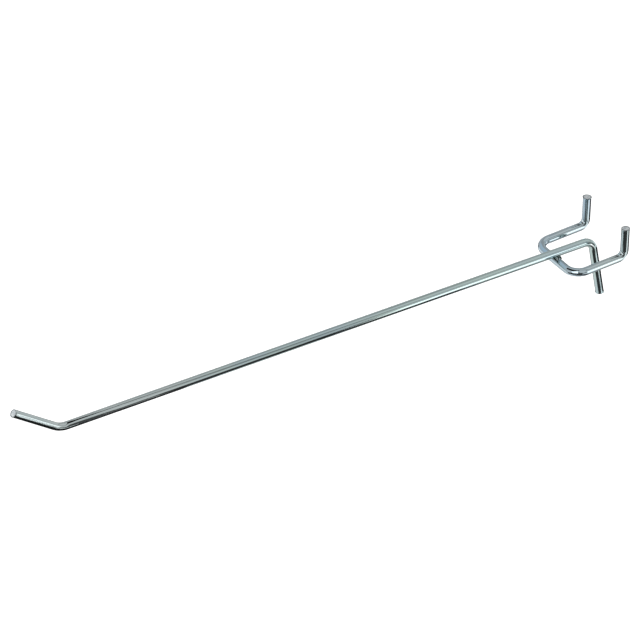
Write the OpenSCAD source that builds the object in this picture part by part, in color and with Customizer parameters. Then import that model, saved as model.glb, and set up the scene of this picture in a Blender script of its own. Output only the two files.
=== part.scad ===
// Single-arm pegboard hook: a long arm wire welded across a two-prong wire.
// The prongs' feet and the front bar lie in the level plane z = 0. The board is
// on the +Y side, the arm reaches out along -Y, and the origin is midway
// between the prongs. All lengths are in millimetres and all angles in degrees.

/* [Wire] */
// Diameter of the plated steel wire that both pieces are bent from
wire_d = 3.25; // [2.6:0.05:3.8]
// How much thinner the wire is drawn where it is bent
bend_thinning = 0.04; // [0.02:0.01:0.1]

/* [Prong wire] */
// Distance between the two prongs, which is the spacing of the board's holes
prong_pitch = 25.4; // [20:0.1:32]
// Distance from the front bar back to the prongs, middle to middle
bar_setback = 22.9; // [18:0.1:30]
// Height of each prong's end above the middle of the front bar
prong_rise = 12.6; // [9:0.1:20]
// Lean of each prong away from the arm
prong_lean = 3; // [0:0.5:10]
// Inside radius of the two front corners
corner_in_r = 4; // [2.5:0.1:6]
// Inside radius of the bend at the foot of each prong
prong_bend_in_r = 1.4; // [1:0.1:3]

/* [Arm wire] */
// Length of the arm between its rear corner and its front corner
arm_len = 243.5; // [80:0.5:320]
// Upward slope of the arm towards its tip
arm_slope = 2.4; // [0:0.1:6]
// Length of the upturned tip from the front corner
tip_len = 25.8; // [16:0.1:40]
// Angle of the upturned tip above the arm
tip_rise = 33; // [15:1:60]
// Inside radius of the bend at the tip
tip_bend_in_r = 9; // [4:0.1:14]
// Length of the bracing leg from the rear corner
leg_len = 25.5; // [16:0.1:36]
// Lean of the bracing leg's foot towards the board
leg_lean = 8.5; // [0:0.5:14]
// Distance from the rear corner back to the prongs
leg_setback = 6; // [4.5:0.1:9]
// Inside radius of the bend at the rear corner
leg_bend_in_r = 3.2; // [1.5:0.1:5]

/* [Weld] */
// Depth to which the arm has sunk into the front bar
weld_sink = 0.1; // [0.05:0.05:0.6]
// Length of the squeezed-out metal along the front bar
weld_l = 5; // [4:0.1:7]
// Width of the squeezed-out metal along the arm
weld_w = 3.5; // [3.2:0.1:5]
// Thickness of the squeezed-out metal
weld_t = 1.1; // [0.8:0.1:1.6]
// Radius that rounds off the weld's corners, from its middle
weld_r = 2.75; // [2.3:0.05:4]

/* [Hidden] */
$fn = 64;
plating = [0.72, 0.76, 0.77];
weld_metal = [0.56, 0.6, 0.61];

// How far the ends of a bend sag aside inside the straight wire that hides
// them, as a share of the thinning
lap_share = 0.125;

// Radii of the bends at the middle of the wire
corner_r = corner_in_r + wire_d / 2;
prong_bend_r = prong_bend_in_r + wire_d / 2;
tip_bend_r = tip_bend_in_r + wire_d / 2;
leg_bend_r = leg_bend_in_r + wire_d / 2;

// Angles through which each bend turns the wire
prong_turn = 90 - prong_lean;
rear_turn = 90 - arm_slope - leg_lean;

// What a bend takes from the straight lengths on both sides of its corner
function corner_take(bend_r, turn) = bend_r * tan(turn / 2);
prong_take = corner_take(prong_bend_r, prong_turn);
rear_take = corner_take(leg_bend_r, rear_turn);
tip_take = corner_take(tip_bend_r, tip_rise);

// Straight lengths that are left between the bends
bar_run = prong_pitch - 2 * corner_r;
side_run = bar_setback - corner_r - prong_take;
prong_run = prong_rise / cos(prong_lean) - prong_take;
leg_run = leg_len - rear_take;
arm_run = arm_len - rear_take - tip_take;
tip_run = tip_len - tip_take;

// The arm's middle crosses this far above the middle of the front bar
seat_h = wire_d - weld_sink;
rear_corner_z = seat_h - tan(arm_slope) * (bar_setback - leg_setback);

// A straight length of wire along +Z, which carries what follows on its end
module straight(run) {
    cylinder(d = wire_d, h = run);
    translate([0, 0, run]) children();
}

// A bend from +Z towards +X, which carries what follows on its end. Its ends
// lap a little into the straight wire on both sides.
module bend(bend_r, turn) {
    lap = acos(1 - lap_share * bend_thinning / bend_r);
    translate([bend_r, 0, 0]) {
        rotate([90, 0, 0])
            rotate([0, 0, 180 - turn - lap])
                rotate_extrude(angle = turn + 2 * lap)
                    translate([bend_r, 0]) circle(d = wire_d - bend_thinning);
        rotate([0, turn, 0]) translate([-bend_r, 0, 0]) children();
    }
}

// Turns the wire about its own length, so that the next bend goes another way
module roll(angle) {
    rotate([0, 0, angle]) children();
}

// The front bar of the prong wire
module front_bar() {
    translate([0, -bar_setback, 0]) rotate([0, 90, 0])
        cylinder(d = wire_d, h = bar_run, center = true);
}

// One side of the prong wire, from the end of the front bar to a prong's end
module prong_side() {
    translate([bar_run / 2, -bar_setback, 0]) rotate([90, 0, 90])
        bend(corner_r, 90)
        straight(side_run)
        roll(90)
        bend(prong_bend_r, prong_turn)
        straight(prong_run);
}

// The stretch of the arm that lies over the front bar, to seat other pieces on
module arm_over_bar() {
    translate([0, -bar_setback, seat_h]) rotate([90 - arm_slope, 0, 0])
        cylinder(d = wire_d, h = 2 * weld_l, center = true);
}

// Two-prong wire: front bar, two sides through the board and two upturned prongs
module prong_wire() {
    color(plating) difference() {
        union() {
            front_bar();
            prong_side();
            mirror([1, 0, 0]) prong_side();
        }
        arm_over_bar();
    }
}

// Arm wire: bracing leg, rear bend, long arm, front bend and upturned tip
module arm_wire() {
    color(plating)
        translate([0, -leg_setback, rear_corner_z])
        rotate([0, leg_lean, -90])
        translate([0, 0, -leg_len])
            straight(leg_run)
            bend(leg_bend_r, rear_turn)
            straight(arm_run)
            roll(180)
            bend(tip_bend_r, tip_rise)
            straight(tip_run);
}

// Weld: the metal squeezed out round the seat where the arm crosses the bar
module weld() {
    color(weld_metal) difference() {
        translate([0, -bar_setback, seat_h / 2]) intersection() {
            cube([weld_l, weld_w, weld_t], center = true);
            cylinder(r = weld_r, h = weld_t, center = true);
        }
        arm_over_bar();
        front_bar();
    }
}

prong_wire();
arm_wire();
weld();
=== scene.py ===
"""The looks of a single-arm pegboard hook made of bright plated steel wire.

Lengths in this file are millimetres, as the hook's maker would give them, and
become metres where a mesh, a lamp or the camera is made. The frame is the
hook's own: +Z up along the prongs, +Y through the board, -Y out along the arm.
"""

import logging
import math
from dataclasses import dataclass, field, replace
from enum import Enum
from typing import Any, Mapping, Optional, Sequence, Union

import bpy
from mathutils import Matrix, Quaternion, Vector, noise


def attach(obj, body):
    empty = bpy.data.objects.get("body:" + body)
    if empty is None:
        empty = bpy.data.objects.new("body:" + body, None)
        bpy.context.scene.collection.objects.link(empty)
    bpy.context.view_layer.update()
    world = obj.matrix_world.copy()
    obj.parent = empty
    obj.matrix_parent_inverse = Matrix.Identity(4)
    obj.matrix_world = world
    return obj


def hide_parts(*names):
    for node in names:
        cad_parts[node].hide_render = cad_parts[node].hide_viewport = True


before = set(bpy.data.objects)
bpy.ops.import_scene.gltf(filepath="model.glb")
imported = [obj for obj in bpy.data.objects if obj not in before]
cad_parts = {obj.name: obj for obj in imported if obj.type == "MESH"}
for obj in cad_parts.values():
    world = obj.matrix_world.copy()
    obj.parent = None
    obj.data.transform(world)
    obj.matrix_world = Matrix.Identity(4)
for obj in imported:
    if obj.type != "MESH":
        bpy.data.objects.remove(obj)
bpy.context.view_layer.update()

METRE = 0.001
ROOT_BODY = "root"
UP = Vector((0.0, 0.0, 1.0))
log = logging.getLogger("pegboard_hook")


class Slot(Enum):
    """The material slots that the record gives the hook."""

    PLATED_WIRE = "plated_wire"
    WELD_METAL = "weld_metal"


class Maths(Enum):
    """The operations of a Math node that the finishes use."""

    ADD = "ADD"
    SUBTRACT = "SUBTRACT"
    MULTIPLY = "MULTIPLY"
    DIVIDE = "DIVIDE"
    POWER = "POWER"
    MAXIMUM = "MAXIMUM"


Number = Union[float, "Sock"]
Colour = tuple[float, float, float]


class Sock:
    """A value that leaves a node, on which arithmetic adds Math nodes."""

    def __init__(self, graph: "Graph", socket: bpy.types.NodeSocket) -> None:
        """Wraps a socket.

        Args:
            graph: The graph that holds the socket's node.
            socket: An output socket.
        """
        self.graph = graph
        self.socket = socket

    def __add__(self, other: Number) -> "Sock":
        """Adds a number or a socket."""
        return self.graph.maths(Maths.ADD, self, other)

    __radd__ = __add__

    def __mul__(self, other: Number) -> "Sock":
        """Multiplies by a number or a socket."""
        return self.graph.maths(Maths.MULTIPLY, self, other)

    __rmul__ = __mul__

    def __sub__(self, other: Number) -> "Sock":
        """Takes a number or a socket away."""
        return self.graph.maths(Maths.SUBTRACT, self, other)

    def __rsub__(self, other: Number) -> "Sock":
        """Is taken away from a number or a socket."""
        return self.graph.maths(Maths.SUBTRACT, other, self)

    def __truediv__(self, other: Number) -> "Sock":
        """Divides by a number or a socket."""
        return self.graph.maths(Maths.DIVIDE, self, other)

    def __pow__(self, other: Number) -> "Sock":
        """Raises to the power of a number or a socket."""
        return self.graph.maths(Maths.POWER, self, other)

    def at_least(self, other: Number) -> "Sock":
        """Gives the larger of this and a number or a socket."""
        return self.graph.maths(Maths.MAXIMUM, self, other)


class Graph:
    """A node tree under construction."""

    def __init__(self, tree: bpy.types.NodeTree) -> None:
        """Empties a node tree.

        Args:
            tree: The tree of a material or of the world.
        """
        self.tree = tree
        self.tree.nodes.clear()

    def add(
        self,
        kind: str,
        settings: Optional[Mapping[str, Any]] = None,
        sockets: Optional[Mapping[Union[str, int], Any]] = None,
    ) -> bpy.types.Node:
        """Adds one node.

        Args:
            kind: The node's type, such as ShaderNodeTexNoise.
            settings: Its settings, which are set first. The key stops gives a
                ramp's places and colours.
            sockets: The values or links of its inputs, by name or by number.

        Returns:
            The node.
        """
        node = self.tree.nodes.new(kind)
        for name, value in (settings or {}).items():
            if name == "stops":
                self._set_stops(node.color_ramp, value)
            else:
                setattr(node, name, value)
        for name, value in (sockets or {}).items():
            if isinstance(value, Sock):
                self.tree.links.new(value.socket, node.inputs[name])
            elif isinstance(value, tuple) and node.inputs[name].type == "RGBA":
                node.inputs[name].default_value = (*value, 1.0)
            else:
                node.inputs[name].default_value = value
        return node

    @staticmethod
    def _set_stops(ramp: bpy.types.ColorRamp, stops: Sequence[tuple[float, Colour]]) -> None:
        """Gives a ramp its stops.

        Args:
            ramp: The ramp, which starts with two stops.
            stops: Places from 0 to 1 with their colours, at least two.
        """
        while len(ramp.elements) < len(stops):
            ramp.elements.new(1.0)
        for element, (place, colour) in zip(ramp.elements, stops):
            element.position = place
            element.color = (*colour, 1.0)

    def out(self, node: bpy.types.Node, name: Union[str, int] = 0) -> Sock:
        """Gives one output of a node, by name or by number."""
        return Sock(self, node.outputs[name])

    def maths(self, operation: Maths, first: Number, second: Number) -> Sock:
        """Adds a Math node on two numbers or sockets."""
        node = self.add("ShaderNodeMath", {"operation": operation.value}, {0: first, 1: second})
        return self.out(node)

    def mix_colour(self, share: Number, first: Any, second: Any) -> Sock:
        """Blends two colours.

        Args:
            share: 0 for the first colour, 1 for the second.
            first: A colour or a socket.
            second: A colour or a socket.

        Returns:
            The blended colour.
        """
        node = self.add("ShaderNodeMix", {"data_type": "RGBA"}, {0: share, 6: first, 7: second})
        return self.out(node, 2)

    def stretched(self, vector: Sock, scale: tuple[float, float, float]) -> Sock:
        """Scales a vector axis by axis."""
        node = self.add("ShaderNodeVectorMath", {"operation": "MULTIPLY"}, {0: vector, 1: scale})
        return self.out(node)

    def noise(self, vector: Sock, scale: float, detail: float, roughness: float = 0.5) -> Sock:
        """Adds a noise that runs from 0 to 1 over the given places."""
        node = self.add(
            "ShaderNodeTexNoise",
            {"noise_dimensions": "3D"},
            {"Vector": vector, "Scale": scale, "Detail": detail, "Roughness": roughness},
        )
        return self.out(node, 0)

    def eased(self, value: Sock, low: float, high: float) -> Sock:
        """Runs smoothly from 0 to 1 while the value goes from low to high."""
        node = self.add(
            "ShaderNodeMapRange",
            {"interpolation_type": "SMOOTHSTEP"},
            {0: value, 1: low, 2: high, 3: 0.0, 4: 1.0},
        )
        return self.out(node)

    def ramp(self, value: Sock, stops: Sequence[tuple[float, Colour]]) -> Sock:
        """Turns a value into a colour by a ramp."""
        return self.out(self.add("ShaderNodeValToRGB", {"stops": stops}, {0: value}))

    def attribute(self, name: str, output: str) -> Sock:
        """Reads a mesh attribute, as Vector or as Fac."""
        node = self.add("ShaderNodeAttribute", {"attribute_type": "GEOMETRY", "attribute_name": name})
        return self.out(node, output)


UNBENT = "unbent"
WEAR_AND_PAINTED_LIGHT = "wear_and_painted_light"


@dataclass(frozen=True)
class PlatedWireFinish:
    """Bright plating over cold-drawn wire: clean, cool grey, with draw lines, and marks painted near
    black (partly scuffing, partly painted shade) and near white (partly burnishing, partly painted
    highlight).
    """

    name: str = "plated_wire"
    bright: Colour = (0.462, 0.57, 0.55)
    cool: Colour = (0.432, 0.535, 0.56)
    far_bright: Colour = (0.505, 0.565, 0.565)
    far_cool: Colour = (0.465, 0.54, 0.545)
    far_from: float = 170.0
    far_to: float = 230.0
    # Colours of the marks: near black is partly scuffing and partly painted shade, near white is partly
    # burnishing and partly painted highlight.
    scuffs_and_painted_light: Colour = (0.05, 0.056, 0.058)
    burnish_and_painted_highlight: Colour = (0.96, 1.0, 1.0)
    smooth: float = 0.035
    dull: float = 0.095
    line_scale: tuple[float, float, float] = (2.6, 2.6, 0.045)
    cloud_scale: tuple[float, float, float] = (0.35, 0.35, 0.06)
    line_height: float = 0.006 * METRE

    def material(self) -> bpy.types.Material:
        """Builds the finish.

        Returns:
            The material.
        """
        made = bpy.data.materials.new(self.name)
        made.use_nodes = True
        graph = Graph(made.node_tree)
        place = graph.attribute(UNBENT, "Vector")
        wear_and_painted_light = graph.attribute(WEAR_AND_PAINTED_LIGHT, "Fac")
        lines = graph.noise(graph.stretched(place, self.line_scale), 1.0, 3.0, 0.6)
        clouds = graph.eased(
            graph.noise(graph.stretched(place, self.cloud_scale), 1.0, 2.0), 0.35, 0.65
        )
        run = graph.out(graph.add("ShaderNodeSeparateXYZ", None, {0: place}), "Z")
        far = graph.eased(run, self.far_from, self.far_to)
        near_tone = graph.mix_colour(clouds, self.bright, self.cool)
        far_tone = graph.mix_colour(clouds, self.far_bright, self.far_cool)
        tone = graph.mix_colour(far, near_tone, far_tone)
        # Marks above 0 take the near-black colour and marks below 0 the near-white one: painted shade and
        # painted highlight, partly scuffing and burnishing.
        scuffs_and_painted_light = wear_and_painted_light.at_least(0.0)
        marked = graph.mix_colour(scuffs_and_painted_light * (0.55 + 0.45 * lines), tone, self.scuffs_and_painted_light)
        colour = graph.mix_colour((-1.0 * wear_and_painted_light).at_least(0.0), marked, self.burnish_and_painted_highlight)
        roughness = self.smooth + (self.dull - self.smooth) * (lines * clouds * 2.0 + scuffs_and_painted_light)
        bump = graph.add(
            "ShaderNodeBump",
            None,
            {"Height": lines + 2.0 * scuffs_and_painted_light * lines, "Distance": self.line_height, "Strength": 1.0},
        )
        shader = graph.add(
            "ShaderNodeBsdfPrincipled",
            None,
            {
                "Base Color": colour,
                "Metallic": 1.0,
                "Roughness": roughness,
                "Normal": graph.out(bump),
            },
        )
        graph.add("ShaderNodeOutputMaterial", None, {"Surface": graph.out(shader)})
        return made


PRONG_FINISH = PlatedWireFinish(
    name="plated_prong_wire",
    bright=(0.465, 0.55, 0.575),
    cool=(0.42, 0.525, 0.60),
    far_bright=(0.48, 0.56, 0.565),
    far_cool=(0.445, 0.54, 0.575),
    far_from=55.0,
    far_to=68.0,
)


@dataclass(frozen=True)
class ShearedEndFinish:
    """The wire's sheared ends: plated over, duller, with the blade's marks and a darker edge of painted
    shade round each face.
    """

    name: str = "sheared_end"
    light: Colour = (0.88, 0.92, 0.93)
    dark: Colour = (0.55, 0.60, 0.63)
    # The colour round each end face's edge is painted shade.
    painted_edge_shade: Colour = (0.24, 0.27, 0.28)
    rim_from: float = 1.15
    rim_to: float = 1.5
    roughness: float = 0.34
    mark_scale: tuple[float, float, float] = (0.8, 3.0, 1.0)
    mark_height: float = 0.05 * METRE

    def material(self) -> bpy.types.Material:
        """Builds the finish.

        Returns:
            The material.
        """
        made = bpy.data.materials.new(self.name)
        made.use_nodes = True
        graph = Graph(made.node_tree)
        place = graph.attribute(UNBENT, "Vector")
        marks = graph.noise(graph.stretched(place, self.mark_scale), 1.0, 3.0)
        flat = graph.stretched(place, (1.0, 1.0, 0.0))
        out = graph.out(
            graph.add("ShaderNodeVectorMath", {"operation": "LENGTH"}, {0: flat}), "Value"
        )
        # Painted shade: the colour darkens towards the face's edge.
        in_painted_edge_shade = graph.eased(out, self.rim_from, self.rim_to)
        face = graph.mix_colour(graph.eased(marks, 0.35, 0.65), self.dark, self.light)
        colour = graph.mix_colour(in_painted_edge_shade, face, self.painted_edge_shade)
        bump = graph.add(
            "ShaderNodeBump",
            None,
            {"Height": marks, "Distance": self.mark_height, "Strength": 1.0},
        )
        shader = graph.add(
            "ShaderNodeBsdfPrincipled",
            None,
            {
                "Base Color": colour,
                "Metallic": 1.0,
                "Roughness": self.roughness + 0.12 * marks,
                "Normal": graph.out(bump),
            },
        )
        graph.add("ShaderNodeOutputMaterial", None, {"Surface": graph.out(shader)})
        return made


@dataclass(frozen=True)
class WeldFinish:
    """Squeezed-out weld metal: lumpy, plated over, with painted shade that darkens its hollows."""

    name: str = "weld_metal"
    # The near-black colour goes into the lumps' hollows as painted shade.
    light: Colour = (0.60, 0.68, 0.69)
    dark: Colour = (0.02, 0.035, 0.035)
    lump_scale: float = 1.1 / METRE
    roughness: float = 0.20
    lump_height: float = 0.22 * METRE

    def material(self) -> bpy.types.Material:
        """Builds the finish.

        Returns:
            The material.
        """
        made = bpy.data.materials.new(self.name)
        made.use_nodes = True
        graph = Graph(made.node_tree)
        place = graph.out(graph.add("ShaderNodeTexCoord"), "Object")
        lumps = graph.noise(place, self.lump_scale, 4.0, 0.6)
        # Painted shade: the hollows of the lumps take the near-black colour.
        colour = graph.mix_colour(graph.eased(lumps, 0.44, 0.60), self.dark, self.light)
        bump = graph.add(
            "ShaderNodeBump",
            None,
            {"Height": lumps, "Distance": self.lump_height, "Strength": 1.0},
        )
        shader = graph.add(
            "ShaderNodeBsdfPrincipled",
            None,
            {
                "Base Color": colour,
                "Metallic": 1.0,
                "Roughness": self.roughness + 0.2 * lumps,
                "Normal": graph.out(bump),
            },
        )
        graph.add("ShaderNodeOutputMaterial", None, {"Surface": graph.out(shader)})
        return made


@dataclass(frozen=True)
class WhiteFloorFinish:
    """A white sweep: camera, metal and glass see it white, and it takes shadow."""

    name: str = "white_floor"
    paint: Colour = (0.8, 0.8, 0.8)
    own_white: float = 0.8

    def material(self) -> bpy.types.Material:
        """Builds the finish.

        Returns:
            The material.
        """
        made = bpy.data.materials.new(self.name)
        made.use_nodes = True
        graph = Graph(made.node_tree)
        path = graph.add("ShaderNodeLightPath")
        seen = (
            graph.out(path, "Is Camera Ray")
            + graph.out(path, "Is Glossy Ray")
            + graph.out(path, "Is Transmission Ray")
        )
        painted = graph.add("ShaderNodeBsdfDiffuse", None, {"Color": self.paint})
        glow = graph.add("ShaderNodeEmission", None, {"Strength": seen * self.own_white})
        both = graph.add(
            "ShaderNodeAddShader", None, {0: graph.out(painted), 1: graph.out(glow)}
        )
        graph.add("ShaderNodeOutputMaterial", None, {"Surface": graph.out(both)})
        return made


@dataclass
class Station:
    """One ring's place on a wire."""

    at: Vector
    along: Vector
    side: Vector
    run: float
    bent: float
    inward: Vector


@dataclass
class WirePath:
    """The middle line of a bent wire: straight lengths joined by round bends."""

    corners: list[Vector]
    bend_radii: list[float]
    straight_step: float = 3.0
    bend_step: float = 0.25

    def corner_take(self, index: int) -> float:
        """Gives what the bend at a corner takes from each straight beside it.

        Args:
            index: The corner's number, from 1 to the last but one.

        Returns:
            The length, in millimetres.
        """
        turn = self._direction(index - 1).angle(self._direction(index))
        return self.bend_radii[index - 1] * math.tan(turn / 2)

    def _direction(self, index: int) -> Vector:
        """Gives the direction from one corner to the next."""
        return (self.corners[index + 1] - self.corners[index]).normalized()

    def length_to_bend(self, index: int) -> float:
        """Gives the wire's length from its start to the middle of a bend."""
        done = 0.0
        for number in range(1, index + 1):
            gap = (self.corners[number] - self.corners[number - 1]).length
            before = self.corner_take(number - 1) if number > 1 else 0.0
            turn = self._direction(number - 1).angle(self._direction(number))
            arc = self.bend_radii[number - 1] * turn
            done += gap - before - self.corner_take(number) + arc
            if number == index:
                done -= arc / 2
        return done

    def stations(self) -> list[Station]:
        """Walks the wire from end to end.

        Returns:
            The stations, close together in the bends.
        """
        made: list[Station] = []
        last = len(self.corners) - 1
        side = self._direction(0).orthogonal().normalized()
        run = 0.0
        for index in range(last):
            along = self._direction(index)
            start_take = self.corner_take(index) if index else 0.0
            end_take = self.corner_take(index + 1) if index + 1 < last else 0.0
            start = self.corners[index] + along * start_take
            length = (self.corners[index + 1] - self.corners[index]).length - start_take - end_take
            count = max(2, round(length / self.straight_step))
            for step in range(count + (index + 1 == last)):
                gone = length * step / count
                made.append(Station(start + along * gone, along, side, run + gone, 0.0, side))
            run += length
            if index + 1 < last:
                side = self._walk_bend(made, index + 1, side, run)
                run += self.bend_radii[index] * along.angle(self._direction(index + 1))
        return made

    def _walk_bend(self, made: list[Station], index: int, side: Vector, run: float) -> Vector:
        """Adds the stations of one bend.

        Args:
            made: The stations so far, which grow.
            index: The corner's number.
            side: The ring's first axis before the bend.
            run: The wire's length before the bend.

        Returns:
            The ring's first axis after the bend.
        """
        before = self._direction(index - 1)
        after = self._direction(index)
        turn = before.angle(after)
        axis = before.cross(after).normalized()
        radius = self.bend_radii[index - 1]
        start = self.corners[index] - before * self.corner_take(index)
        inward = axis.cross(before).normalized()
        centre = start + inward * radius
        count = max(4, round(radius * turn / self.bend_step))
        for step in range(count):
            angle = turn * step / count
            spin = Quaternion(axis, angle)
            here_in = spin @ inward
            bent = math.sin(math.pi * step / count) ** 0.5 if step else 0.0
            made.append(
                Station(centre - here_in * radius, spin @ before, spin @ side,
                        run + radius * angle, bent, here_in)
            )
        return Quaternion(axis, turn) @ side


@dataclass(frozen=True)
class Dent:
    """A mark that the bending tool left: above 0 painted dark, partly scuffing and partly painted shade;
    below 0 painted near white, partly burnishing and partly painted highlight.
    """

    run: float
    facing: tuple[float, float, float]
    depth: float
    length: float
    width: float
    # Above 0 the mark is painted dark and below 0 near white: partly scuffing and burnishing, partly
    # painted shade and painted highlight.
    wear_and_painted_light: float

    def share_at(self, run: float, outward: Vector) -> float:
        """Gives how much of the dent reaches a place on the wire's surface.

        Args:
            run: The place along the wire.
            outward: The surface's outward direction there.

        Returns:
            The share, from 0 to 1 at the dent's middle.
        """
        away = (run - self.run) / self.length
        if abs(away) > 3.0:
            return 0.0
        turned = outward.angle(Vector(self.facing)) / self.width
        return math.exp(-(away**2) - turned**2)

    def beside(self, middle: float, towards_end: float) -> "Dent":
        """Gives the same dent with its run counted from a bend's middle."""
        return replace(self, run=middle + self.run * towards_end)


@dataclass
class BentWire:
    """A length of plated wire with sheared ends, bent along a path."""

    path: WirePath
    wire_d: float
    dents: list[Dent] = field(default_factory=list)
    sides: int = 64
    flattening: float = 0.03
    end_spread: float = 0.09
    spread_length: float = 0.45
    slant: float = 0.06
    last_cut: tuple[float, float, float] = (0.0, 0.0, 0.0)
    cut_length: float = 2.4
    face_shares: tuple[tuple[float, float], ...] = (
        (0.99, 0.035), (0.965, 0.05), (0.93, 0.03), (0.86, 0.0), (0.6, -0.01), (0.3, 0.0),
    )

    def build(self, name: str) -> bpy.types.Object:
        """Builds the wire's mesh.

        Args:
            name: The piece's name.

        Returns:
            The piece, with its unbent places and its scuffing and painted light as attributes.
        """
        stations = self._with_close_ends(self.path.stations())
        total = stations[-1].run
        points: list[Vector] = []
        unbent: list[Vector] = []
        wear_and_painted_light: list[float] = []
        for station in stations:
            self._add_ring(station, total, 1.0, 0.0, points, unbent, wear_and_painted_light)
        rings = len(stations)
        faces = [
            (
                ring * self.sides + step,
                ring * self.sides + (step + 1) % self.sides,
                (ring + 1) * self.sides + (step + 1) % self.sides,
                (ring + 1) * self.sides + step,
            )
            for ring in range(rings - 1)
            for step in range(self.sides)
        ]
        side_faces = len(faces)
        for at_start in (True, False):
            self._add_end(stations, total, at_start, points, unbent, wear_and_painted_light, faces)
        mesh = bpy.data.meshes.new(name)
        mesh.from_pydata([tuple(point * METRE) for point in points], [], faces)
        self._store(mesh, UNBENT, "FLOAT_VECTOR", "vector", [c for place in unbent for c in place])
        self._store(mesh, WEAR_AND_PAINTED_LIGHT, "FLOAT", "value", wear_and_painted_light)
        mesh.polygons.foreach_set("use_smooth", [True] * len(faces))
        mesh.polygons.foreach_set(
            "material_index", [0] * side_faces + [1] * (len(faces) - side_faces)
        )
        mesh.validate()
        mesh.update()
        piece = bpy.data.objects.new(name, mesh)
        bpy.context.scene.collection.objects.link(piece)
        return piece

    def _with_close_ends(self, stations: list[Station]) -> list[Station]:
        """Adds stations near both ends, where the shearing spread the wire."""
        first, last = stations[0], stations[-1]
        steps = [share * self.spread_length for share in (0.12, 0.25, 0.4, 0.6, 0.8, 1.0)]
        close_start = [
            Station(first.at + first.along * gone, first.along, first.side, gone, 0.0, first.inward)
            for gone in steps
        ]
        close_end = [
            Station(last.at - last.along * gone, last.along, last.side, last.run - gone, 0.0, last.inward)
            for gone in reversed(steps)
        ]
        return [first, *close_start, *stations[1:-1], *close_end, last]

    def _add_ring(
        self,
        station: Station,
        total: float,
        share: float,
        proud: float,
        points: list[Vector],
        unbent: list[Vector],
        wear_and_painted_light: list[float],
    ) -> None:
        """Adds one ring of points.

        Args:
            station: Where the ring lies.
            total: The wire's whole length.
            share: The ring's radius as a share of the wire's, under 1 on an end's face.
            proud: How far the ring stands out of the end's face.
            points: The points so far, which grow.
            unbent: Each point's place on the wire before it was bent.
            wear_and_painted_light: Each point's mark colour, from 1 for near black (scuffing and painted
                shade) to -1 for near white (burnishing and painted highlight).
        """
        up = station.along.cross(station.side)
        radius = self.wire_d / 2
        to_end = min(station.run, total - station.run)
        near_end = max(0.0, 1.0 - to_end / self.spread_length) ** 2
        outwards = station.along if station.run > total / 2 else -station.along
        for step in range(self.sides):
            angle = math.tau * step / self.sides
            outward = station.side * math.cos(angle) + up * math.sin(angle)
            across = outward.dot(station.inward) if station.bent else 0.0
            oval = 1.0 + self.flattening * station.bent * (0.5 - 1.5 * across**2)
            spread = 1.0 + self.end_spread * near_end * (0.7 + 0.5 * math.cos(2 * angle + 0.6))
            # Each mark adds its dent and its share of painted shade (above 0) and painted highlight
            # (below 0), partly scuffing.
            dent = scuffs_and_painted_light = 0.0
            for mark in self.dents:
                reach = mark.share_at(station.run, outward)
                dent += mark.depth * reach
                scuffs_and_painted_light += mark.wear_and_painted_light * reach
            here = radius * oval * spread * share - dent
            slanted = self.slant * near_end * math.cos(angle) * share
            if station.run > total / 2:
                cut = outward.dot(Vector(self.last_cut)) * here
                slanted += cut * max(0.0, 1.0 - to_end / self.cut_length)
            points.append(station.at + outward * here + outwards * (proud - self.slant + slanted))
            unbent.append(
                Vector((here * math.cos(angle), here * math.sin(angle), station.run))
            )
            wear_and_painted_light.append(max(-1.0, min(1.0, scuffs_and_painted_light + 0.15 * near_end)))

    def _add_end(
        self,
        stations: list[Station],
        total: float,
        at_start: bool,
        points: list[Vector],
        unbent: list[Vector],
        wear_and_painted_light: list[float],
        faces: list[tuple[int, ...]],
    ) -> None:
        """Closes one sheared end with rings that shrink to its middle.

        Args:
            stations: The wire's stations.
            total: The wire's whole length.
            at_start: True for the first end, False for the last.
            points: The points so far, which grow.
            unbent: Each point's place on the wire before it was bent.
            wear_and_painted_light: Each point's mark colour, from 1 for near black (scuffing and painted
                shade) to -1 for near white (burnishing and painted highlight).
            faces: The faces so far, which grow.
        """
        station = stations[0] if at_start else stations[-1]
        outer = 0 if at_start else (len(stations) - 1) * self.sides
        for share, proud in self.face_shares:
            inner = len(points)
            self._add_ring(station, total, share, proud, points, unbent, wear_and_painted_light)
            for step in range(self.sides):
                after = (step + 1) % self.sides
                quad = (outer + step, outer + after, inner + after, inner + step)
                faces.append(tuple(reversed(quad)) if at_start else quad)
            outer = inner
        middle = len(points)
        outwards = -station.along if at_start else station.along
        points.append(station.at - outwards * self.slant)
        unbent.append(Vector((0.0, 0.0, station.run)))
        wear_and_painted_light.append(0.25)
        for step in range(self.sides):
            triangle = (outer + step, outer + (step + 1) % self.sides, middle)
            faces.append(tuple(reversed(triangle)) if at_start else triangle)

    @staticmethod
    def _store(mesh: bpy.types.Mesh, name: str, kind: str, key: str, values: Sequence[float]) -> None:
        """Writes one attribute on the mesh's points."""
        attribute = mesh.attributes.new(name, kind, "POINT")
        attribute.data.foreach_set(key, values)


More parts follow.
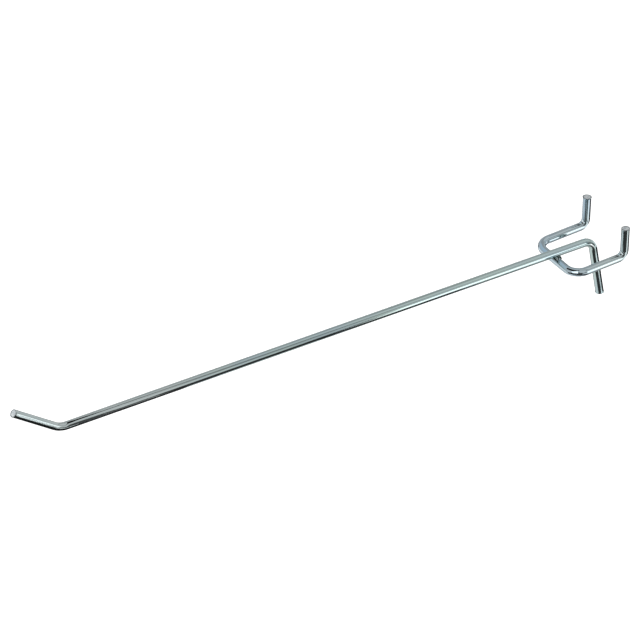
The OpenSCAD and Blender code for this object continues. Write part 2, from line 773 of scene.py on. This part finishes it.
@dataclass
class ProngWire:
    """The two-prong wire: front bar, two level sides and two upturned prongs."""

    wire_d: float = 3.25
    prong_pitch: float = 25.4
    bar_setback: float = 22.9
    prong_rise: float = 12.6
    prong_lean: float = 3.0
    corner_r: float = 5.625
    prong_bend_r: float = 3.025
    # Nicks at each prong's foot: real dents, painted dark (partly scuffing, partly painted shade) and,
    # below 0, near white (partly burnishing, partly painted highlight).
    marks: tuple[Dent, ...] = (
        Dent(-4.1, (0.0, 0.0, 1.0), 0.05, 0.30, 0.35, 0.6),
        Dent(-3.0, (0.0, 0.0, 1.0), 0.10, 0.36, 0.45, 1.4),
        Dent(-2.6, (0.45, 0.0, 0.89), 0.05, 0.30, 0.25, 0.6),
        Dent(-1.5, (-0.07, -0.25, 0.96), 0.06, 0.30, 0.40, -0.5),
        Dent(-0.5, (0.45, -0.60, 0.65), 0.06, 0.30, 0.30, -0.8),
        Dent(0.1, (0.35, -0.70, 0.62), 0.08, 0.30, 0.28, 1.3),
        Dent(0.9, (0.24, -0.85, 0.47), 0.06, 0.36, 0.32, -1.4),
        Dent(0.2, (0.83, -0.37, 0.42), 0.03, 1.7, 0.36, 1.3),
    )

    def path(self) -> WirePath:
        """Gives the middle line, from the left prong's end to the right one's."""
        half = self.prong_pitch / 2
        lean = math.radians(self.prong_lean)
        back = self.prong_rise * math.tan(lean)
        corners = [
            Vector((-half, back, self.prong_rise)),
            Vector((-half, 0.0, 0.0)),
            Vector((-half, -self.bar_setback, 0.0)),
            Vector((half, -self.bar_setback, 0.0)),
            Vector((half, 0.0, 0.0)),
            Vector((half, back, self.prong_rise)),
        ]
        radii = [self.prong_bend_r, self.corner_r, self.corner_r, self.prong_bend_r]
        return WirePath(corners, radii, straight_step=0.5)

    def tool_marks(self, path: WirePath) -> list[Dent]:
        """Gives the nicks inside the bend at the foot of each prong: real dents, with colours that are
        partly scuffing and partly painted shade and painted highlight.
        """
        return [
            mark.beside(path.length_to_bend(index), towards_end)
            for index, towards_end in ((1, -1.0), (4, 1.0))
            for mark in self.marks
        ]

    def build(self) -> bpy.types.Object:
        """Builds the piece and hides the plain solid that it stands for."""
        path = self.path()
        wire = BentWire(path, self.wire_d, self.tool_marks(path))
        piece = wire.build("prong_wire_dressed")
        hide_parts("prong_wire")
        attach(piece, ROOT_BODY)
        return piece


@dataclass
class ArmWire:
    """The arm wire: bracing leg, rear bend, long arm, front bend and tip."""

    wire_d: float = 3.25
    arm_len: float = 243.5
    arm_slope: float = 2.4
    tip_len: float = 25.8
    tip_rise: float = 33.0
    leg_len: float = 25.5
    leg_lean: float = 8.5
    leg_setback: float = 6.0
    leg_bend_r: float = 4.825
    tip_bend_r: float = 10.625
    bar_setback: float = 22.9
    weld_sink: float = 0.1
    tip_cut: tuple[float, float, float] = (0.15, 0.0, 0.0)
    # Stripes across the rear bend, nearly flat: their dark and near-white colours are painted shade and
    # painted highlights.
    marks: tuple[Dent, ...] = (
        Dent(1.55, (0.93, 0.10, 0.33), 0.03, 0.85, 0.18, 1.8),
        Dent(0.45, (0.94, -0.24, -0.25), 0.03, 0.50, 0.18, 1.8),
        Dent(0.56, (1.0, -0.04, -0.02), 0.02, 0.32, 0.18, -2.4),
        Dent(-0.28, (0.99, -0.13, -0.09), 0.02, 0.32, 0.18, -2.4),
        Dent(-1.11, (0.98, -0.17, -0.11), 0.02, 0.32, 0.18, -2.4),
        Dent(-0.5, (0.91, 0.32, 0.27), 0.02, 0.90, 0.16, 1.8),
    )

    def path(self) -> WirePath:
        """Gives the middle line, from the leg's foot to the tip's end."""
        slope = math.radians(self.arm_slope)
        lean = math.radians(self.leg_lean)
        rise = math.radians(self.arm_slope + self.tip_rise)
        seat_h = self.wire_d - self.weld_sink
        rear_z = seat_h - math.tan(slope) * (self.bar_setback - self.leg_setback)
        rear = Vector((0.0, -self.leg_setback, rear_z))
        foot = rear + Vector((0.0, math.sin(lean), -math.cos(lean))) * self.leg_len
        front = rear + Vector((0.0, -math.cos(slope), math.sin(slope))) * self.arm_len
        end = front + Vector((0.0, -math.cos(rise), math.sin(rise))) * self.tip_len
        return WirePath([foot, rear, front, end], [self.leg_bend_r, self.tip_bend_r])

    def build(self) -> bpy.types.Object:
        """Builds the piece and hides the plain solid that it stands for."""
        path = self.path()
        marks = [mark.beside(path.length_to_bend(1), 1.0) for mark in self.marks]
        wire = BentWire(path, self.wire_d, marks, last_cut=self.tip_cut)
        piece = wire.build("arm_wire_dressed")
        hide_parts("arm_wire")
        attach(piece, ROOT_BODY)
        return piece


@dataclass
class Weld:
    """The metal squeezed out round the seat where the arm crosses the bar."""

    half_sizes: tuple[float, float, float] = (2.4, 1.7, 0.62)
    bar_setback: float = 22.9
    seat_middle_z: float = 1.575
    squareness: float = 0.45
    lump: float = 0.2
    lump_scale: float = 1.1
    rings: int = 48
    sides: int = 96

    def build(self) -> bpy.types.Object:
        """Builds the piece and hides the plain solid that it stands for."""
        centre = Vector((0.0, -self.bar_setback, self.seat_middle_z))
        points: list[Vector] = []
        for ring in range(1, self.rings):
            lift = math.pi * (ring / self.rings - 0.5)
            for step in range(self.sides):
                turn = math.tau * step / self.sides
                points.append(centre + self._surface(turn, lift))
        faces = [
            (
                ring * self.sides + step,
                ring * self.sides + (step + 1) % self.sides,
                (ring + 1) * self.sides + (step + 1) % self.sides,
                (ring + 1) * self.sides + step,
            )
            for ring in range(self.rings - 2)
            for step in range(self.sides)
        ]
        faces.append(tuple(reversed(range(self.sides))))
        faces.append(tuple(range((self.rings - 2) * self.sides, (self.rings - 1) * self.sides)))
        mesh = bpy.data.meshes.new("weld_dressed")
        mesh.from_pydata([tuple(point * METRE) for point in points], [], faces)
        mesh.polygons.foreach_set("use_smooth", [True] * len(faces))
        mesh.update()
        piece = bpy.data.objects.new("weld_dressed", mesh)
        bpy.context.scene.collection.objects.link(piece)
        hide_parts("weld")
        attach(piece, ROOT_BODY)
        return piece

    def _surface(self, turn: float, lift: float) -> Vector:
        """Gives a point of the lump, from its middle.

        Args:
            turn: The angle round the upright axis.
            lift: The angle above the level plane.

        Returns:
            The point, with its lumps.
        """
        def squared(value: float) -> float:
            """Pushes a sine or cosine out towards a box's outline."""
            return math.copysign(abs(value) ** self.squareness, value)

        flat = abs(math.cos(lift)) ** 0.6
        unit = Vector((flat * squared(math.cos(turn)), flat * squared(math.sin(turn)), math.sin(lift)))
        size = Vector(self.half_sizes)
        point = Vector((unit.x * size.x, unit.y * size.y, unit.z * size.z))
        bulge = noise.fractal(point * self.lump_scale + Vector((3.1, 7.7, 1.3)), 1.0, 2.0, 3)
        return point * (1.0 + self.lump * bulge)


class Facing(Enum):
    """The axis that a studio card lies square to."""

    X = 0
    Y = 1
    Z = 2


@dataclass(frozen=True)
class Card:
    """A flat studio card that only shows in the metal: a soft light or a flag.

    It lies square to one axis, at a place on it, and spans a range on each of
    the two other axes, in the order x, y, z.
    """

    name: str
    facing: Facing
    place: float
    first: tuple[float, float]
    second: tuple[float, float]
    glow: float
    turn: float = 0.0
    tint: Colour = (1.0, 1.0, 1.0)

    def build(self) -> bpy.types.Object:
        """Builds the card.

        Returns:
            The card, as part of the studio and not of the hook.
        """
        mesh = bpy.data.meshes.new(self.name)
        mesh.from_pydata([tuple(corner * METRE) for corner in self._corners()], [], [(0, 1, 2, 3)])
        card = bpy.data.objects.new(self.name, mesh)
        card.visible_camera = False
        card.visible_diffuse = False
        card.visible_transmission = False
        card.visible_volume_scatter = False
        card.visible_shadow = False
        bpy.context.scene.collection.objects.link(card)
        made = bpy.data.materials.new(self.name)
        made.use_nodes = True
        graph = Graph(made.node_tree)
        glow = graph.add("ShaderNodeEmission", None, {"Color": self.tint, "Strength": self.glow})
        graph.add("ShaderNodeOutputMaterial", None, {"Surface": graph.out(glow)})
        mesh.materials.append(made)
        return card

    def _corners(self) -> list[Vector]:
        """Gives the card's four corners in order."""
        others = [axis for axis in range(3) if axis != self.facing.value]
        middle = Vector((sum(self.first) / 2, sum(self.second) / 2))
        turned = Matrix.Rotation(math.radians(self.turn), 2)
        corners = []
        for across, along in ((0, 0), (1, 0), (1, 1), (0, 1)):
            flat = turned @ (Vector((self.first[across], self.second[along])) - middle) + middle
            corner = Vector((0.0, 0.0, 0.0))
            corner[self.facing.value] = self.place
            corner[others[0]], corner[others[1]] = flat
            corners.append(corner)
        return corners


@dataclass
class Studio:
    """Floor, white surround, soft lamps, cards and camera."""

    floor_z: float = -350.0
    floor_size: float = 30000.0
    camera_azimuth: float = 55.517
    camera_elevation: float = 34.994
    camera_distance: float = 10000.0
    camera_target: tuple[float, float, float] = (-7.349, -126.016, 8.788)
    photo_scale: float = 2.6513
    photo_width: int = 640
    sensor_width: float = 36.0

    def cards(self) -> list[Card]:
        """Lists the cards that give the wire its bright and dark bands."""
        length = (-1300.0, 1300.0)
        return [
            Card("ceiling", Facing.Z, 500.0, (-345.0, 220.0), length, 0.78),
            Card("ceiling_bright", Facing.Z, 497.0, (79.0, 200.0), length, 0.84),
            Card("ceiling_patch", Facing.Z, 495.0, (-420.0, -150.0), (218.0, 285.0), 0.42),
            Card("ceiling_strip", Facing.Z, 498.0, (-560.0, -210.0), (80.0, 218.0), 0.60),
            Card("ceiling_left_back", Facing.Z, 505.0, (-1100.0, -345.0), (220.0, 1300.0), 0.50),
            Card("ceiling_left_front", Facing.Z, 506.0, (-1100.0, -345.0), (-1300.0, 220.0), 0.76,
                 tint=(0.86, 1.0, 1.1)),
            Card("ceiling_right", Facing.Z, 507.0, (200.0, 1100.0), length, 0.84),
            Card("right_gap", Facing.Z, 490.0, (340.0, 510.0), (170.0, 1300.0), 0.36),
            Card("front_gap", Facing.Z, 488.0, (132.0, 226.0), (-108.0, 353.0), 0.33, -57.0),
            Card("left_wall", Facing.X, -1000.0, length, (5.0, 500.0), 0.68),
            Card("left_foot", Facing.X, -1005.0, (-300.0, 1300.0), (-305.0, 60.0), 0.42),
            Card("right_wall", Facing.X, 300.0, length, (55.0, 286.0), 0.78),
            Card("right_shade", Facing.X, 297.0, (35.0, 100.0), (110.0, 290.0), 0.60),
            Card("right_window", Facing.X, 298.0, (71.5, 175.0), (-130.0, 60.0), 2.25),
            Card("right_window_back", Facing.X, 298.5, (175.0, 270.0), (-130.0, 40.0), 1.25),
            Card("right_back", Facing.X, 299.5, (270.0, 700.0), (-260.0, 60.0), 0.35),
            Card("right_low_window", Facing.X, 298.0, (150.0, 270.0), (-258.0, -180.0), 1.6),
            Card("right_middle", Facing.X, 299.0, (-67.0, 62.0), (-85.0, 8.0), 0.12),
            Card("right_middle_high", Facing.X, 299.0, (-67.0, 62.0), (8.0, 60.0), 0.76),
            Card("right_bright", Facing.X, 299.2, (-110.0, 35.0), (60.0, 200.0), 0.88),
            Card("right_front", Facing.X, 301.0, (-1300.0, -67.0), (-165.0, 94.0), 0.08),
            Card("corner_window", Facing.X, 199.0, (-480.0, -152.0), (8.0, 115.0), 2.2),
            Card("corner_window_high", Facing.X, 199.0, (-720.0, -152.0), (115.0, 380.0), 2.2),
            Card("corner_overhead_flag", Facing.Z, 300.0, (-170.0, 150.0), (-360.0, -60.0), 0.02),
            Card("corner_overhead_edge", Facing.Z, 300.0, (50.0, 85.0), (-60.0, -35.0), 0.02),
            Card("tip_window", Facing.X, 305.0, (-60.0, 100.0), (-232.0, -74.0), 1.75),
            Card("floor_back", Facing.Z, -330.0, (-437.0, 396.0), (52.0, 238.0), 0.44),
            Card("floor_middle", Facing.Z, -331.0, (-475.0, 310.0), (-120.0, 52.0), 0.84),
            Card("floor_front", Facing.Z, -331.0, (-230.0, 310.0), (-680.0, -120.0), 0.98),
            Card("floor_front_left", Facing.Z, -331.0, (-520.0, -230.0), (-680.0, -120.0), 0.87),
            Card("floor_left", Facing.Z, -329.0, (-1000.0, -340.0), (-100.0, 700.0), 0.08),
            Card("head_flag", Facing.Z, -115.0, (43.0, 144.0), (-246.0, 37.0), 0.05),
            Card("side_flag", Facing.Z, -115.5, (144.0, 228.0), (-108.0, 5.0), 0.06),
            Card("side_flag_back", Facing.Z, -115.5, (184.0, 240.0), (5.0, 64.0), 0.10),
            Card("corner_flag", Facing.Z, -116.0, (100.0, 178.0), (-150.0, -80.0), 0.02),
            Card("prong_flag", Facing.Z, -60.0, (55.0, 130.0), (-106.0, -45.0), 0.05),
            Card("middle_flag_edge", Facing.Z, -20.1, (75.0, 98.0), (-162.0, -140.0), 0.05),
            Card("middle_flag_near", Facing.Z, -20.2, (5.0, 44.0), (-118.0, -45.0), 0.04),
            Card("middle_flag_rear", Facing.Z, -20.5, (16.0, 30.0), (-45.0, -18.0), 0.28),
            Card("middle_flag", Facing.Z, -20.0, (40.0, 75.0), (-172.0, -82.0), 0.02),
            Card("middle_flag_low", Facing.Z, -20.2, (8.0, 44.0), (-194.0, -163.0), 0.05),
            Card("middle_flag_far", Facing.Z, -20.0, (75.0, 135.0), (-140.0, -60.0), 0.04),
            Card("front_flag", Facing.X, 200.0, (-400.0, -115.0), (-94.0, 142.0), 0.09),
            Card("front_flag_far", Facing.X, 200.0, (-720.0, -400.0), (-240.0, -94.0), 0.02),
            Card("front_flag_low", Facing.Z, -5.0, (14.0, 42.0), (-226.0, -203.0), 0.10),
            Card("front_flag_rear", Facing.Z, -5.0, (20.0, 56.0), (-203.0, -186.0), 0.25),
            Card("tip_flag", Facing.Z, -50.0, (-40.0, 61.0), (-318.0, -163.0), 0.02),
            Card("rear_flag", Facing.Z, -290.0, (-306.0, 282.0), (284.0, 600.0), 0.05),
            Card("front_wall", Facing.Y, -1200.0, (-1200.0, 1200.0), (-64.0, 500.0), 0.75),
            Card("back_wall", Facing.Y, 1200.0, (-1200.0, 1200.0), (20.0, 300.0), 0.78),
            Card("back_wall_high", Facing.Y, 1200.0, (-1200.0, 1200.0), (300.0, 800.0), 0.55),
        ]

    def build(self) -> None:
        """Builds the whole studio."""
        self._floor()
        self._world()
        self._lamp("key_lamp", (600.0, -700.0, 1400.0), 1200.0, 9.0)
        self._lamp("fill_lamp", (-900.0, 300.0, 1300.0), 1400.0, 6.0)
        for card in self.cards():
            card.build()
        self._camera()

    def _floor(self) -> None:
        """Lays the plain white floor."""
        half = self.floor_size / 2 * METRE
        level = self.floor_z * METRE
        mesh = bpy.data.meshes.new("floor")
        corners = [(-half, -half, level), (half, -half, level), (half, half, level), (-half, half, level)]
        mesh.from_pydata(corners, [], [(0, 1, 2, 3)])
        floor = bpy.data.objects.new("floor", mesh)
        bpy.context.scene.collection.objects.link(floor)
        mesh.materials.append(WhiteFloorFinish().material())

    def _world(self) -> None:
        """Makes the surround: soft grey light, seen as plain white."""
        world = bpy.data.worlds.new("surround")
        bpy.context.scene.world = world
        world.use_nodes = True
        graph = Graph(world.node_tree)
        path = graph.add("ShaderNodeLightPath")
        seen = (
            graph.out(path, "Is Camera Ray")
            + graph.out(path, "Is Glossy Ray")
            + graph.out(path, "Is Transmission Ray")
        )
        sky = graph.add(
            "ShaderNodeBackground",
            None,
            {"Color": (1.0, 1.0, 1.0), "Strength": 0.35 + 0.65 * seen},
        )
        graph.add("ShaderNodeOutputWorld", None, {"Surface": graph.out(sky)})

    def _lamp(self, name: str, place: tuple[float, float, float], size: float, watts: float) -> None:
        """Hangs one soft lamp that faces the hook.

        Args:
            name: The lamp's name.
            place: Where it hangs.
            size: Its side.
            watts: Its power.
        """
        data = bpy.data.lights.new(name, "AREA")
        data.size = size * METRE
        data.energy = watts
        lamp = bpy.data.objects.new(name, data)
        lamp.location = Vector(place) * METRE
        towards = Vector((0.0, -120.0, 0.0)) - Vector(place)
        lamp.rotation_mode = "QUATERNION"
        lamp.rotation_quaternion = towards.to_track_quat("-Z", "Y")
        lamp.visible_glossy = False
        bpy.context.scene.collection.objects.link(lamp)

    def _camera(self) -> None:
        """Sets the camera at the photograph's viewing angle."""
        azimuth = math.radians(self.camera_azimuth)
        elevation = math.radians(self.camera_elevation)
        back = Vector(
            (
                math.sin(azimuth) * math.cos(elevation),
                -math.cos(azimuth) * math.cos(elevation),
                math.sin(elevation),
            )
        )
        data = bpy.data.cameras.new("camera")
        data.sensor_width = self.sensor_width
        data.lens = self.photo_scale * self.camera_distance * self.sensor_width / self.photo_width
        data.clip_start = 1.0
        data.clip_end = 100.0
        camera = bpy.data.objects.new("camera", data)
        camera.location = (Vector(self.camera_target) + back * self.camera_distance) * METRE
        camera.rotation_mode = "QUATERNION"
        camera.rotation_quaternion = (-back).to_track_quat("-Z", "Y")
        bpy.context.scene.collection.objects.link(camera)
        bpy.context.scene.camera = camera


def main() -> None:
    """Builds the studio, then the hook's pieces, and dresses them."""
    logging.basicConfig(level=logging.INFO, format="%(message)s")
    scene = bpy.context.scene
    scene.view_settings.view_transform = "Standard"
    Studio().build()
    sheared = ShearedEndFinish().material()
    dressed = ((ProngWire(), PRONG_FINISH), (ArmWire(), PlatedWireFinish()))
    for wire, finish in dressed:
        piece = wire.build()
        piece.data.materials.append(finish.material())
        piece.data.materials.append(sheared)
        log.info("built %s with %d faces", piece.name, len(piece.data.polygons))
    piece = Weld().build()
    piece.data.materials.append(WeldFinish().material())
    log.info("built %s with %d faces", piece.name, len(piece.data.polygons))


if __name__ == "__main__":
    main()
